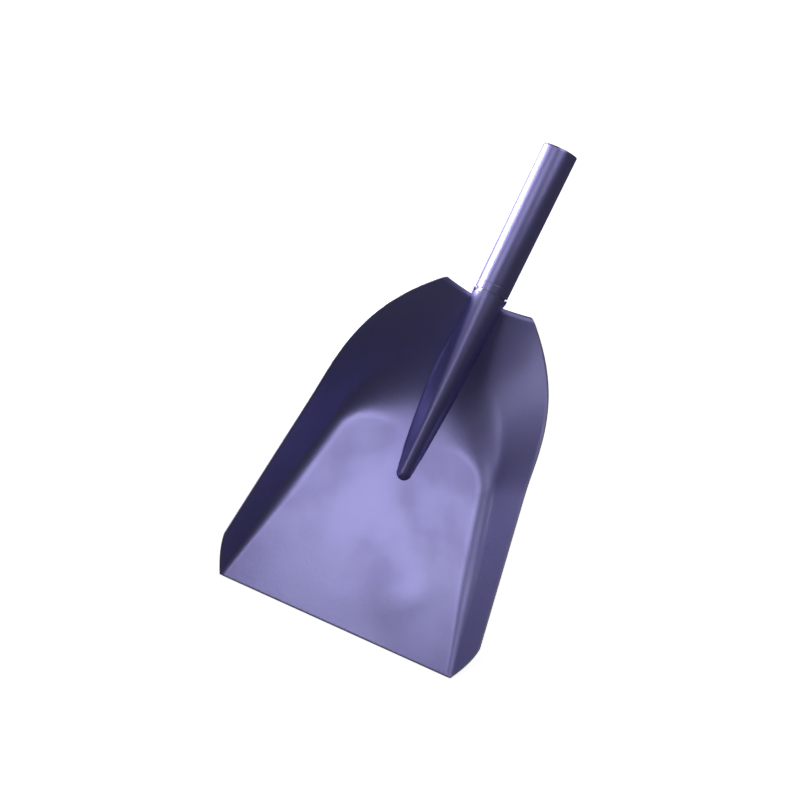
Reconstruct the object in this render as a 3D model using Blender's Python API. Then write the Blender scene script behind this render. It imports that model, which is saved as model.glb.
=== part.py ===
"""Grain scoop head: a pressed sheet-steel pan with a tapered rolled socket welded under its centre rib.

Metres, +Z up. The pan's flat underside lies on Z = 0 and +Y runs from the cutting edge to the
socket's mouth, with the origin midway. The head is symmetric about X = 0 but for one fixing hole.
Dimensions below are in millimetres, with Y counted from the cutting edge until a piece is placed.
"""

import bpy
import numpy as np

MM = 0.001

# Pressed sheet
SHEET = 1.5
FRONT_HALF = 140.0
CLIP_LENGTH = 40.0
CLIP_HALF = 154.0
CLIP_BULGE = 1.6
SHOULDER_START = 246.0
SHOULDER_HALF = 132.0
REAR_HALF = 54.0
PAN_LENGTH = 393.5
SHOULDER_END_SLOPE = -1.18
FLOOR_FRONT_HALF = 139.0
FLOOR_TAPER = 0.185
FLOOR_LENGTH = 295.0
FLOOR_CORNER = 84.0
SIDE_SLOPE = np.radians(50.5)
BACK_SLOPE = np.radians(43.1)
SIDE_BEND_FRONT = 12.0
SIDE_BEND_REAR = 30.0
SIDE_BEND_GROWTH = 130.0
BACK_BEND = 175.0
LIP_LENGTH = 6.0
LIP_RADIUS = 8.5
LIP_CLEAR_INNER = 17.5
LIP_CLEAR_OUTER = 21.5

# Centre rib pressed into the sheet
RIB_TIP = 183.0
RIB_TIP_RISE = 5.0
RIB_ANGLE = np.radians(28.5)
RIB_TIP_RADIUS = 6.2
RIB_REAR_RADIUS = 18.6
RIB_SWELL = 2.5
RIB_NOSE = 8.0
RIB_FLANK = np.radians(79.0)
RIB_FLANK_REAR = np.radians(86.0)
RIB_FLANK_GROWTH = 60.0
RIB_BLEND_TIP = 8.0
RIB_BLEND = 17.0
RIB_BLEND_GROWTH = 45.0
RIB_BLEND_REAR = 3.5
RIB_BLEND_FADE = 34.0

# Rolled socket
SOCKET_WALL = 1.6
SOCKET_CLEARANCE = 0.4
SOCKET_LENGTH = 173.7
MOUTH_RADIUS = 20.5
NECK_STEP = 1.9
NECK_START = 1.0
NECK_LENGTH = 8.0
TONGUE_LENGTH = 96.0
TONGUE_HALF_ANGLE = np.radians(62.0)
SCARF_ANGLE = np.radians(14.0)
SCARF_START = 40.0
SCARF_LENGTH = 22.0
SEAM_HALF_GAP = 0.5
HOLE_RADIUS = 3.0
HOLE_FROM_MOUTH = 26.0
HOLE_ANGLE = np.radians(140.0)
HOLE_BLOCK = 4
HOLE_BLOCK_HALF = 5.6

# Weld runs
WELD_GAP = 0.3
EDGE_WELD_HALF_ANGLE = np.radians(84.0)
EDGE_WELD_WIDTH = 5.0
EDGE_WELD_TOP = 1.85
TONGUE_WELD_RADIUS = 1.5
FLANK_WELD_RADIUS = 1.7
FLANK_WELD_START = -34.0
CLOSE_REACH = 6.0
SEAM_WELD_WIDTH = 4.2
SEAM_WELD_HEIGHT = 1.2

ENAMEL = (0.115, 0.095, 0.36, 1.0)
WELD_ENAMEL = (0.10, 0.085, 0.32, 1.0)


def smooth_step(t):
    t = np.clip(t, 0.0, 1.0)
    return t * t * (3.0 - 2.0 * t)


def rim_half(y):
    """Half width of the pan's outline: clipped front corner, long side, curved shoulder."""
    left = 1.0 - np.clip(y / CLIP_LENGTH, 0.0, 1.0)
    clip = CLIP_HALF - (CLIP_HALF - FRONT_HALF) * left**CLIP_BULGE
    run = SHOULDER_START - CLIP_LENGTH
    side = CLIP_HALF + (SHOULDER_HALF - CLIP_HALF) * (y - CLIP_LENGTH) / run
    span = PAN_LENGTH - SHOULDER_START
    t = np.clip((y - SHOULDER_START) / span, 0.0, 1.0)
    start = (SHOULDER_HALF - CLIP_HALF) / run * span
    end = SHOULDER_END_SLOPE * span
    shoulder = (2 * t**3 - 3 * t**2 + 1) * SHOULDER_HALF + (t**3 - 2 * t**2 + t) * start
    shoulder = shoulder + (3 * t**2 - 2 * t**3) * REAR_HALF + (t**3 - t**2) * end
    return np.where(y < CLIP_LENGTH, clip, np.where(y < SHOULDER_START, side, shoulder))


def side_bend(y):
    return SIDE_BEND_FRONT + (SIDE_BEND_REAR - SIDE_BEND_FRONT) * smooth_step(y / SIDE_BEND_GROWTH)


def bend(distance, slope, radius):
    """Height of a wall of this slope that leaves the floor through a circular bend."""
    half = radius * np.tan(slope / 2.0)
    reach = np.clip(distance + half, 0.0, radius * np.sin(slope))
    arc = radius - np.sqrt(radius * radius - reach * reach)
    return np.where(distance < half * np.cos(slope), arc, distance * np.tan(slope))


def wall_height(x, y):
    """Underside height of the pan without its rib: flat floor, side walls and swept back wall."""
    tilt = np.arctan(FLOOR_TAPER)
    from_side = (np.abs(x) - (FLOOR_FRONT_HALF - FLOOR_TAPER * y)) * np.cos(tilt)
    from_back = y - FLOOR_LENGTH
    p = np.maximum(from_side + FLOOR_CORNER, 0.0)
    q = np.maximum(from_back + FLOOR_CORNER, 0.0)
    reach = np.sqrt(p * p + q * q)
    inside = (p == 0.0) | (q == 0.0)
    distance = np.where(inside, np.maximum(from_side, from_back), reach - FLOOR_CORNER)
    back = np.where(reach > 0.0, q * q / np.maximum(reach * reach, 1e-9), 0.0)
    slope = SIDE_SLOPE + (BACK_SLOPE - SIDE_SLOPE) * back
    radius = side_bend(y) + (BACK_BEND - side_bend(y)) * back
    return bend(distance, slope, radius)


def lip_drop(x, y):
    """How far the rear edge rolls back below the straight wall, on both sides of the rib."""
    over = np.clip(y - (PAN_LENGTH - LIP_LENGTH), 0.0, LIP_LENGTH)
    angle = np.arcsin(np.sin(BACK_SLOPE) - over / LIP_RADIUS)
    arc = LIP_RADIUS * (np.cos(angle) - np.cos(BACK_SLOPE))
    clear = smooth_step((np.abs(x) - LIP_CLEAR_INNER) / (LIP_CLEAR_OUTER - LIP_CLEAR_INNER))
    return (over * np.tan(BACK_SLOPE) - arc) * clear


def crest_height(y):
    return RIB_TIP_RISE + (y - RIB_TIP) * np.tan(RIB_ANGLE)


def rib_radius(y):
    """Radius of the rib's round top, which swells faster and faster towards the rear edge."""
    share = np.clip((y - RIB_TIP) / (PAN_LENGTH - RIB_TIP), 0.0, 1.0)
    return RIB_TIP_RADIUS + (RIB_REAR_RADIUS - RIB_TIP_RADIUS) * share**RIB_SWELL


def rib_flank(y):
    """Slope of the rib's flanks, which stand up straighter where the socket comes out."""
    return RIB_FLANK + (RIB_FLANK_REAR - RIB_FLANK) * smooth_step((y - PAN_LENGTH) / RIB_FLANK_GROWTH + 1.0)


def rib_height(x, y):
    """Underside height of the rib: a tapering half round with steep flanks and a rounded nose."""
    across = np.hypot(x, np.maximum(RIB_TIP + RIB_NOSE - y, 0.0))
    radius = rib_radius(y)
    flank = rib_flank(y)
    turn = radius * np.sin(flank)
    inner = np.minimum(across, turn)
    drop = radius - np.sqrt(radius * radius - inner * inner)
    drop = drop + np.maximum(across - turn, 0.0) * np.tan(flank)
    return crest_height(y) - drop / np.cos(RIB_ANGLE)


def rib_blend(y):
    """Depth of the fillet at the rib's foot: small at the nose, wide along the flanks, small at the rear."""
    grown = (RIB_BLEND - RIB_BLEND_TIP) * smooth_step((y - RIB_TIP) / RIB_BLEND_GROWTH)
    faded = (RIB_BLEND - RIB_BLEND_REAR) * smooth_step((y - PAN_LENGTH) / RIB_BLEND_FADE + 1.0)
    return RIB_BLEND_TIP + grown - faded


def underside(x, y):
    """Height of the sheet's underside: the larger of pan and rib, with a soft fillet between."""
    pan = wall_height(x, y) - lip_drop(x, y)
    rib = rib_height(x, y)
    blend = rib_blend(y)
    near = np.maximum(1.0 - np.abs(pan - rib) / blend, 0.0)
    return np.maximum(pan, rib) + blend * near * near / 4.0


def foot_line(y):
    """Half width of the rib where its flank meets the pan."""
    radius = rib_radius(y)
    need = np.maximum(crest_height(y) - wall_height(0.0, y), 0.0) * np.cos(RIB_ANGLE)
    flank = rib_flank(y)
    round_part = radius * (1.0 - np.cos(flank))
    on_round = np.sqrt(np.maximum(radius**2 - (radius - np.minimum(need, round_part)) ** 2, 0.0))
    return on_round + np.maximum(need - round_part, 0.0) / np.tan(flank)


def spread(stops, counts):
    """Evenly spaced stations between the stops, with this many steps in each span."""
    runs = [np.linspace(a, b, n, endpoint=False) for a, b, n in zip(stops[:-1], stops[1:], counts)]
    return np.concatenate(runs + [np.array(stops[-1:])])


def columns(y):
    """Half of one row's X stations: crest, flank, fillet, floor, bend and side wall."""
    half = side_bend(y) * np.tan(SIDE_SLOPE / 2.0)
    corner = max(y - (FLOOR_LENGTH - FLOOR_CORNER), 0.0)
    fold = FLOOR_FRONT_HALF - FLOOR_TAPER * y
    fold = fold - FLOOR_CORNER + np.sqrt(max(FLOOR_CORNER**2 - corner**2, 0.0))
    rim = float(rim_half(y))
    fold = max(fold, 0.62 * rim)
    turn = float(rib_radius(y) * np.sin(rib_flank(y))) * 0.98
    foot = max(float(foot_line(y)), turn + 1.2)
    fillet = foot + 4.5
    lower = max(fold - half, fillet + 2.0)
    upper = min(fold + half * np.cos(SIDE_SLOPE), rim - 0.06 * rim**0.8)
    return spread([0.0, turn, foot, fillet, lower, upper, rim], (6, 4, 4, 3, 5, 3))


def closed_grid(under, over):
    """Quads of a thin body between two equal grids of points, closed along all four borders."""
    rows, cols = under.shape[:2]
    points = np.concatenate([under.reshape(-1, 3), over.reshape(-1, 3)])
    index = np.arange(rows * cols).reshape(rows, cols)
    low = np.stack([index[:-1, :-1], index[1:, :-1], index[1:, 1:], index[:-1, 1:]], -1).reshape(-1, 4)
    high = low[:, ::-1] + rows * cols
    ring = np.concatenate([index[0, :-1], index[:-1, -1], index[-1, :0:-1], index[:0:-1, 0]])
    following = np.roll(ring, -1)
    border = np.stack([ring, following, following + rows * cols, ring + rows * cols], -1)
    return points, np.concatenate([low, high, border])


def make_object(name, points, faces, material):
    """Adds one piece, with the frame's origin moved to the middle of the head's length."""
    overall = socket_point(SOCKET_LENGTH, np.pi, 0.0)[1]
    placed = (np.asarray(points) - np.array([0.0, overall / 2.0, 0.0])) * MM
    mesh = bpy.data.meshes.new(name)
    mesh.from_pydata(placed.tolist(), [], [tuple(int(i) for i in f) for f in faces])
    mesh.validate()
    mesh.materials.append(material)
    mesh.polygons.foreach_set("use_smooth", [True] * len(mesh.polygons))
    piece = bpy.data.objects.new(name, mesh)
    bpy.context.scene.collection.objects.link(piece)
    return piece


def make_material(name, colour, roughness):
    material = bpy.data.materials.new(name)
    material.use_nodes = True
    shader = material.node_tree.nodes["Principled BSDF"]
    shader.inputs["Base Color"].default_value = colour
    shader.inputs["Roughness"].default_value = roughness
    shader.inputs["Metallic"].default_value = 0.0
    return material


def sheet_normal(x, y):
    step = 0.05
    dx = (underside(x + step, y) - underside(x - step, y)) / (2.0 * step)
    dy = (underside(x, y + step) - underside(x, y - step)) / (2.0 * step)
    normal = np.stack([-dx, -dy, np.ones_like(dx)], -1)
    return normal / np.linalg.norm(normal, axis=-1, keepdims=True)


def make_pan():
    stops = [0.0, CLIP_LENGTH, RIB_TIP - 14.0, RIB_TIP + 16.0, PAN_LENGTH - LIP_LENGTH, PAN_LENGTH]
    along = spread(stops, (5, 4, 10, 15, 4))
    half = np.array([columns(y) for y in along])
    x = np.concatenate([-half[:, :0:-1], half], 1)
    y = np.repeat(along[:, None], x.shape[1], 1)
    under = np.stack([x, y, underside(x, y)], -1)
    normal = sheet_normal(x, y)
    normal[0, :, 1] = 0.0
    normal[0] = normal[0] / np.linalg.norm(normal[0], axis=-1, keepdims=True)
    over = under + SHEET * normal
    points, faces = closed_grid(under, over)
    return make_object("pan", points, faces, make_material("pan_enamel", ENAMEL, 0.32))


def along_axis():
    return np.array([0.0, np.cos(RIB_ANGLE), np.sin(RIB_ANGLE)])


def above_axis():
    return np.array([0.0, -np.sin(RIB_ANGLE), np.cos(RIB_ANGLE)])


def rear_crest():
    return np.array([0.0, PAN_LENGTH, float(crest_height(PAN_LENGTH))])


def socket_core(s):
    """Outer radius without the swell past the neck; s = 0 at the pan's rear edge, positive towards the mouth."""
    inside = rib_radius(PAN_LENGTH + s * np.cos(RIB_ANGLE)) - SOCKET_CLEARANCE
    base = RIB_REAR_RADIUS - SOCKET_CLEARANCE
    outside = base + (MOUTH_RADIUS - NECK_STEP - base) * np.clip(s / SOCKET_LENGTH, 0.0, 1.0)
    return np.where(s < 0.0, inside, outside)


def neck_swell(s):
    """Growth from the neck that fits under the sheet to the full tube, level with the sheet's top."""
    return NECK_STEP * smooth_step((s - NECK_START) / NECK_LENGTH)


def socket_point(s, angle, depth):
    """Point on the socket; angle 0 is its top line, depth is measured in from the outer surface."""
    s = np.asarray(s, float)
    angle = np.asarray(angle, float)
    core = socket_core(s)
    drop = (SOCKET_CLEARANCE + core)[..., None]
    centre = rear_crest() + s[..., None] * along_axis() - drop * above_axis()
    arm = (core + neck_swell(s) - depth)[..., None]
    side = np.sin(angle)[..., None] * np.array([1.0, 0.0, 0.0])
    return centre + arm * (side + np.cos(angle)[..., None] * above_axis())


def socket_start(angle):
    """Where the tube begins at each angle: a long top tongue, then a scarf cut back to the full round."""
    share = smooth_step((np.abs(angle) - TONGUE_HALF_ANGLE) / SCARF_ANGLE)
    under = (np.abs(angle) - TONGUE_HALF_ANGLE - SCARF_ANGLE) / np.radians(90.0)
    lower = SCARF_START - SCARF_LENGTH * smooth_step(under)
    round_end = 10.0 * (np.clip(np.abs(angle) / TONGUE_HALF_ANGLE, 0.0, 1.0)) ** 4
    return -((TONGUE_LENGTH - round_end) * (1.0 - share) + lower * share)


def socket_stations():
    """Stations along the socket and around it; the block of cells at the fixing hole is square."""
    seam = np.pi - SEAM_HALF_GAP / MOUTH_RADIUS
    scarf = TONGUE_HALF_ANGLE + SCARF_ANGLE
    reach = HOLE_BLOCK_HALF / MOUTH_RADIUS
    stops = [0.0, TONGUE_HALF_ANGLE, scarf, HOLE_ANGLE - reach, HOLE_ANGLE + reach, seam]
    half = spread(stops, (7, 3, 6, 4, 2))
    angle = np.concatenate([-half[:0:-1], half])
    middle = SOCKET_LENGTH - HOLE_FROM_MOUTH
    neck_end = NECK_START + NECK_LENGTH
    stops = [0.0, NECK_START, neck_end, middle - HOLE_BLOCK_HALF, middle + HOLE_BLOCK_HALF, SOCKET_LENGTH]
    outside = spread(stops, (1, 8, 5, 4, 2))
    share = spread([0.0, 1.0], (7,))
    inside = socket_start(angle)[None, :] * (1.0 - share[:, None])
    s = np.concatenate([inside, np.repeat(outside[1:, None], len(angle), 1)])
    return s, np.repeat(angle[None, :], len(s), 0)


def block_border(row, col):
    """Indices around the block of cells that the fixing hole is cut in, in order."""
    n = HOLE_BLOCK
    top = [(row, col + i) for i in range(n)]
    right = [(row + i, col + n) for i in range(n)]
    bottom = [(row + n, col + n - i) for i in range(n)]
    left = [(row + n - i, col) for i in range(n)]
    return np.array(top + right + bottom + left)


def punch_hole(points, faces, s, angle):
    """Cuts the fixing hole through both skins and lines it."""
    rows, cols = s.shape
    row = int(np.argmin(np.abs(s[:, 0] - (SOCKET_LENGTH - HOLE_FROM_MOUTH - HOLE_BLOCK_HALF))))
    col = int(np.argmin(np.abs(angle[0] - (HOLE_ANGLE - HOLE_BLOCK_HALF / MOUTH_RADIUS))))
    border = block_border(row, col)
    across = (angle[border[:, 0], border[:, 1]] - HOLE_ANGLE) * MOUTH_RADIUS
    along = s[border[:, 0], border[:, 1]] - (SOCKET_LENGTH - HOLE_FROM_MOUTH)
    scale = HOLE_RADIUS / np.hypot(across, along)
    hole_s = SOCKET_LENGTH - HOLE_FROM_MOUTH + along * scale
    hole_angle = HOLE_ANGLE + across * scale / MOUTH_RADIUS
    r, c = np.divmod(np.arange((rows - 1) * (cols - 1)), cols - 1)
    inside = (r >= row) & (r < row + HOLE_BLOCK) & (c >= col) & (c < col + HOLE_BLOCK)
    kept = np.flatnonzero(~inside)
    skins = len(inside)
    faces = np.concatenate([faces[kept], faces[skins + kept], faces[2 * skins:]])
    ring = border[:, 0] * cols + border[:, 1]
    low = len(points) + np.arange(len(ring))
    high = low + len(ring)
    after = np.roll(np.arange(len(ring)), -1)
    size = rows * cols
    inner = np.stack([ring, low, low[after], ring[after]], -1)
    outer = np.stack([ring[after] + size, high[after], high, ring + size], -1)
    lining = np.stack([low[after], low, high, high[after]], -1)
    rim = [socket_point(hole_s, hole_angle, SOCKET_WALL), socket_point(hole_s, hole_angle, 0.0)]
    return np.concatenate([points, *rim]), np.concatenate([faces, inner, outer, lining])


def make_socket():
    s, angle = socket_stations()
    inner = socket_point(s, angle, SOCKET_WALL)
    outer = socket_point(s, angle, 0.0)
    points, faces = closed_grid(inner, outer)
    points, faces = punch_hole(points, faces, s, angle)
    return make_object("socket", points, faces, make_material("socket_enamel", ENAMEL, 0.30))


def tube_along(path, side, up, width, height, sides):
    """Rings of an elliptical section along a path, tapering to small ends."""
    turn = 2.0 * np.pi * np.arange(sides) / sides
    share = np.linspace(0.0, 1.0, len(path))
    taper = 0.45 + 0.55 * smooth_step(np.minimum(share, 1.0 - share) / 0.08)
    ring = np.cos(turn)[None, :, None] * (side * (width * taper)[:, None])[:, None, :]
    ring = ring + np.sin(turn)[None, :, None] * (up * (height * taper)[:, None])[:, None, :]
    return path[:, None, :] + ring


def closed_run(rings):
    """Skin over a row of equal rings, with a flat face over each end."""
    index = np.arange(rings.shape[0] * rings.shape[1]).reshape(rings.shape[:2])
    after = np.roll(index, -1, 1)
    skin = np.stack([index[:-1], after[:-1], after[1:], index[1:]], -1).reshape(-1, 4)
    return rings.reshape(-1, 3), [*skin.tolist(), index[0, ::-1].tolist(), index[-1].tolist()]


def facing_out(points, faces):
    """Faces turned outwards: the signed volume of the closed body decides."""
    volume = 0.0
    for face in faces:
        fan = points[list(face)]
        volume += np.einsum("ij,ij->", np.cross(fan[1:-1], fan[2:]), np.repeat(fan[:1], len(fan) - 2, 0))
    return faces if volume > 0.0 else [list(reversed(face)) for face in faces]


def bead(name, rings, material):
    points, faces = closed_run(rings)
    return make_object(name, points, facing_out(points, faces), material)


def make_edge_weld(material):
    """Dressed run that fills the neck between the sheet's rear edge and the full tube."""
    angle = np.linspace(-EDGE_WELD_HALF_ANGLE, EDGE_WELD_HALF_ANGLE, 33)[:, None]
    fall = np.linspace(0.0, 1.0, 5)
    along = WELD_GAP + EDGE_WELD_WIDTH * np.concatenate([fall, fall[::-1]])
    crown = EDGE_WELD_TOP - neck_swell(along[:5])
    lift = np.concatenate([crown, np.full(5, WELD_GAP)])
    return bead("edge_weld", socket_point(along[None, :], angle, -lift[None, :]), material)


def make_tongue_weld(name, hand, material):
    """Run along one edge of the tongue, in the corner it makes with the inside of the rib."""
    s = np.linspace(-(TONGUE_LENGTH - 14.0), -(SCARF_START + 8.0), 14)
    depth = TONGUE_WELD_RADIUS + 0.1
    arm = socket_core(s) - depth
    edges = np.linspace(TONGUE_HALF_ANGLE, TONGUE_HALF_ANGLE + SCARF_ANGLE, 60)
    edge = np.interp(s, socket_start(edges), edges)
    angle = edge + (TONGUE_WELD_RADIUS + WELD_GAP + 0.2) / arm
    path = socket_point(s, hand * angle, depth)
    return round_bead(name, path, TONGUE_WELD_RADIUS, material)


def round_bead(name, path, radius, material):
    ahead = np.gradient(path, axis=0)
    ahead = ahead / np.linalg.norm(ahead, axis=1, keepdims=True)
    side = np.cross(ahead, above_axis())
    side = side / np.linalg.norm(side, axis=1, keepdims=True)
    up = np.cross(side, ahead)
    size = np.full(len(path), radius)
    return bead(name, tube_along(path, side, up, size, size, 8), material)


def sheet_distance(point):
    """Distance from a point to the sheet's underside over a fine patch, negative above the sheet."""
    x = point[0] + np.linspace(-CLOSE_REACH, CLOSE_REACH, 161)[:, None]
    y = np.minimum(point[1] + np.linspace(-CLOSE_REACH, CLOSE_REACH, 21)[None, :], PAN_LENGTH)
    gap = np.sqrt((x - point[0]) ** 2 + (y - point[1]) ** 2 + (underside(x, y) - point[2]) ** 2)
    return gap.min() if underside(point[0], point[1]) > point[2] else -gap.min()


def make_flank_weld(name, hand, material):
    """Run in the wedge between the socket's side and the foot of the rib, near the rear edge."""
    path = []
    for s in np.linspace(FLANK_WELD_START, -2.5, 12):
        low = np.radians(85.0)
        high = np.radians(150.0)
        for _ in range(40):
            middle = (low + high) / 2.0
            point = socket_point(np.array(s), np.array(middle), -(WELD_GAP + FLANK_WELD_RADIUS))
            if sheet_distance(point) < WELD_GAP + FLANK_WELD_RADIUS + 0.15:
                low = middle
            else:
                high = middle
        path.append(socket_point(np.array(s), np.array(hand * high), -(WELD_GAP + FLANK_WELD_RADIUS)))
    return round_bead(name, np.array(path), FLANK_WELD_RADIUS, material)


def make_seam_weld(material):
    """Run that closes the rolled seam along the back of the socket."""
    first = SCARF_LENGTH - SCARF_START + 4.0
    stops = [first, NECK_START, NECK_START + NECK_LENGTH, SOCKET_LENGTH - 5.0]
    s = spread(stops, (4, 16, 14))
    lift = WELD_GAP + SEAM_WELD_HEIGHT / 2.0
    path = socket_point(s, np.full_like(s, np.pi), -lift)
    side = np.repeat(np.array([[1.0, 0.0, 0.0]]), len(path), 0)
    up = np.repeat(-above_axis()[None, :], len(path), 0)
    width = np.full(len(path), SEAM_WELD_WIDTH / 2.0)
    height = np.full(len(path), SEAM_WELD_HEIGHT / 2.0)
    return bead("seam_weld", tube_along(path, side, up, width, height, 8), material)


def main():
    for old in list(bpy.data.objects):
        bpy.data.objects.remove(old, do_unlink=True)
    make_pan()
    make_socket()
    make_edge_weld(make_material("edge_weld_enamel", WELD_ENAMEL, 0.36))
    for label, hand in (("left", -1.0), ("right", 1.0)):
        enamel = make_material("tongue_weld_enamel_" + label, WELD_ENAMEL, 0.36)
        make_tongue_weld("tongue_weld_" + label, hand, enamel)
        enamel = make_material("flank_weld_enamel_" + label, WELD_ENAMEL, 0.36)
        make_flank_weld("flank_weld_" + label, hand, enamel)
    make_seam_weld(make_material("seam_weld_enamel", WELD_ENAMEL, 0.36))


main()
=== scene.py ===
"""Grain scoop head: pressed pan, rolled socket and weld runs, in violet-blue enamel.

Lengths in the shape functions are in millimetres, with Y counted from the cutting edge. A finished
mesh is in metres in the frame of the CAD, whose origin is midway along the head.
"""

import bpy
import numpy as np
from mathutils import Matrix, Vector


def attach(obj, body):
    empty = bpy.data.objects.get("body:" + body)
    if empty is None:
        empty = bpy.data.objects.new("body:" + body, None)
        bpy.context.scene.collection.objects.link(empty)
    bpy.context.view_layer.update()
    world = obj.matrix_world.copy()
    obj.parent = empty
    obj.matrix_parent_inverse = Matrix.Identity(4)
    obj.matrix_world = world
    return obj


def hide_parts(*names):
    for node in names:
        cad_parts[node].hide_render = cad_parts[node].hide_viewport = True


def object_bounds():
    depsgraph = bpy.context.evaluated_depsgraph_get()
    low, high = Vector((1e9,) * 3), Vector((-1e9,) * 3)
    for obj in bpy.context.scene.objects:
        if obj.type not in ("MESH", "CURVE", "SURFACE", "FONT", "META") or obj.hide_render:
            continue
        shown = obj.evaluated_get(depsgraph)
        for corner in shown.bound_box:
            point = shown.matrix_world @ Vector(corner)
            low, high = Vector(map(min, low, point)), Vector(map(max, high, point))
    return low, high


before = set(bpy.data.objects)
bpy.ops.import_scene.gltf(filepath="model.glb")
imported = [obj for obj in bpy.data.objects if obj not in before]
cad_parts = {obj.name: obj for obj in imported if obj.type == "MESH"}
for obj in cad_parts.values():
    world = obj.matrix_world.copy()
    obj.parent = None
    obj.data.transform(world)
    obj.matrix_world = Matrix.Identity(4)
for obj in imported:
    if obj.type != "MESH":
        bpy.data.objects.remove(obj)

cad_low, cad_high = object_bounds()

MM = 0.001
HALF_OVERALL = cad_high.y / MM

# Pressed sheet
SHEET = 1.5
EDGE_ROUND = 0.45
FRONT_HALF = 140.0
CLIP_LENGTH = 40.0
CLIP_HALF = 154.0
CLIP_BULGE = 1.6
SHOULDER_START = 246.0
SHOULDER_HALF = 132.0
REAR_HALF = 54.0
PAN_LENGTH = 393.5
SHOULDER_END_SLOPE = -1.18
FLOOR_FRONT_HALF = 139.0
FLOOR_TAPER = 0.185
FLOOR_LENGTH = 295.0
FLOOR_CORNER = 84.0
SIDE_SLOPE = np.radians(50.5)
BACK_SLOPE = np.radians(43.1)
SIDE_BEND_FRONT = 12.0
SIDE_BEND_REAR = 30.0
SIDE_BEND_GROWTH = 130.0
BACK_BEND = 175.0
LIP_LENGTH = 6.0
LIP_RADIUS = 8.5
LIP_CLEAR_INNER = 17.5
LIP_CLEAR_OUTER = 21.5

# Centre rib
RIB_TIP = 183.0
RIB_TIP_RISE = 5.0
RIB_ANGLE = np.radians(28.5)
RIB_TIP_RADIUS = 6.2
RIB_REAR_RADIUS = 18.6
RIB_SWELL = 2.5
RIB_NOSE = 8.0
RIB_FLANK = np.radians(79.0)
RIB_FLANK_REAR = np.radians(86.0)
RIB_FLANK_GROWTH = 60.0
RIB_BLEND_TIP = 8.0
RIB_BLEND = 17.0
RIB_BLEND_GROWTH = 45.0
RIB_BLEND_REAR = 3.5
RIB_BLEND_FADE = 34.0

# Rolled socket
SOCKET_WALL = 1.6
SOCKET_CLEARANCE = 0.4
SOCKET_LENGTH = 173.7
MOUTH_RADIUS = 20.5
NECK_STEP = 1.9
NECK_START = 1.0
NECK_LENGTH = 8.0
TONGUE_LENGTH = 96.0
TONGUE_HALF_ANGLE = np.radians(62.0)
TONGUE_ROUND = 10.0
SCARF_ANGLE = np.radians(14.0)
SCARF_START = 40.0
SCARF_LENGTH = 22.0
SEAM_HALF_GAP = 0.5
HOLE_RADIUS = 3.0
HOLE_FROM_MOUTH = 26.0
HOLE_ANGLE = np.radians(140.0)
HOLE_BLOCK = 12
HOLE_BLOCK_HALF = 5.6

# Spacing of the mesh stations
NORMAL_STEP = 0.05
CREST_SHARE = 0.98
FOOT_MARGIN = 1.2
FILLET_MARGIN = 5.0
BEND_MARGIN = 2.0
LEAST_FOLD = 0.62
WALL_SHARE = 0.06
WALL_POWER = 0.8
COLUMN_COUNTS = (14, 12, 7, 18, 16, 12)
ROW_COUNTS = (22, 36, 6, 34, 70, 12)
NOSE_AHEAD = 12.0
NOSE_START = 2.0
NOSE_BEHIND = 14.0
SHEET_RIM_STEPS = 6
SOCKET_RIM_STEPS = 4
ANGLE_COUNTS = (18, 10, 16, HOLE_BLOCK, 8)
TONGUE_COUNT = 24
TUBE_COUNTS = (2, 16, 36, HOLE_BLOCK, 10)

AXIS = np.array([0.0, np.cos(RIB_ANGLE), np.sin(RIB_ANGLE)])
ABOVE = np.array([0.0, -np.sin(RIB_ANGLE), np.cos(RIB_ANGLE)])
ACROSS = np.array([1.0, 0.0, 0.0])


def smooth_step(t):
    """Rises from 0 to 1 as 3 t^2 - 2 t^3, flat at both ends."""
    t = np.clip(t, 0.0, 1.0)
    return t * t * (3.0 - 2.0 * t)


def spread(stops, counts):
    """Evenly spaced stations between the stops, with this many steps in each span."""
    runs = [np.linspace(a, b, n, endpoint=False) for a, b, n in zip(stops[:-1], stops[1:], counts)]
    return np.concatenate(runs + [np.array(stops[-1:])])


# ---------------------------------------------------------------- pressed sheet

def rim_half(y):
    """Half width of the outline: a bulging clip, a straight side, then a cubic shoulder."""
    start = np.clip(y / CLIP_LENGTH, 0.0, 1.0)
    clip = FRONT_HALF + (CLIP_HALF - FRONT_HALF) * (1.0 - (1.0 - start) ** CLIP_BULGE)
    run = SHOULDER_START - CLIP_LENGTH
    side = CLIP_HALF + (SHOULDER_HALF - CLIP_HALF) * (y - CLIP_LENGTH) / run
    span = PAN_LENGTH - SHOULDER_START
    t = np.clip((y - SHOULDER_START) / span, 0.0, 1.0)
    first = (SHOULDER_HALF - CLIP_HALF) / run * span
    last = SHOULDER_END_SLOPE * span
    shoulder = (2 * t**3 - 3 * t**2 + 1) * SHOULDER_HALF + (t**3 - 2 * t**2 + t) * first
    shoulder = shoulder + (3 * t**2 - 2 * t**3) * REAR_HALF + (t**3 - t**2) * last
    return np.where(y < CLIP_LENGTH, clip, np.where(y < SHOULDER_START, side, shoulder))


def side_bend(y):
    """Radius of the fold between floor and side wall, which grows from the front to the rear."""
    grown = smooth_step(y / SIDE_BEND_GROWTH)
    return SIDE_BEND_FRONT + (SIDE_BEND_REAR - SIDE_BEND_FRONT) * grown


def bend(distance, slope, radius):
    """Height of a wall that leaves the floor through an arc: r - sqrt(r^2 - reach^2), then a line."""
    half = radius * np.tan(slope / 2.0)
    reach = np.clip(distance + half, 0.0, radius * np.sin(slope))
    arc = radius - np.sqrt(radius * radius - reach * reach)
    return np.where(distance < half * np.cos(slope), arc, distance * np.tan(slope))


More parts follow.
